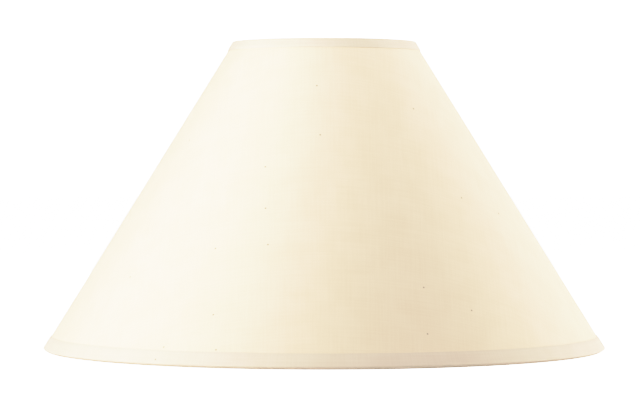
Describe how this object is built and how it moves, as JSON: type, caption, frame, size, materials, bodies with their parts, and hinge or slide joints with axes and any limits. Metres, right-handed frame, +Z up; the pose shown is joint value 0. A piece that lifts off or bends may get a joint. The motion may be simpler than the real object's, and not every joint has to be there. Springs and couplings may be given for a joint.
{
  "type": "lamp shade",
  "caption": "Wide cone lamp shade in cream cloth on a stiff liner, with narrow cloth trims and a recessed spider fitter.",
  "frame": {"origin": "on the shade's axis, at the level that the bottom trim rests on", "axes": "+Z up the axis to the narrow end; +Y towards the lap seam at the back; +X to the right seen from the front"},
  "size_m": [0.4722, 0.4733, 0.2598],
  "materials": {
    "cover_cloth": "matt cream plain weave with fine slubs, laminated flat",
    "trim_cloth": "the same cream cloth, folded as a strip",
    "styrene": "satin white sheet that lets light through",
    "tape": "thin double-sided tape",
    "plated_wire": "bright zinc or nickel plated drawn wire",
    "plated_steel": "plated pressed sheet"
  },
  "bodies": {
    "root": {"fabric_cover": "cover_cloth", "top_trim": "trim_cloth", "bottom_trim": "trim_cloth", "liner": "styrene", "seam_tape": "tape", "top_ring": "plated_wire", "bottom_ring": "plated_wire", "spider_arm_1": "plated_wire", "spider_arm_2": "plated_wire", "spider_arm_3": "plated_wire", "fitter_washer": "plated_steel"}
  },
  "joints": []
}
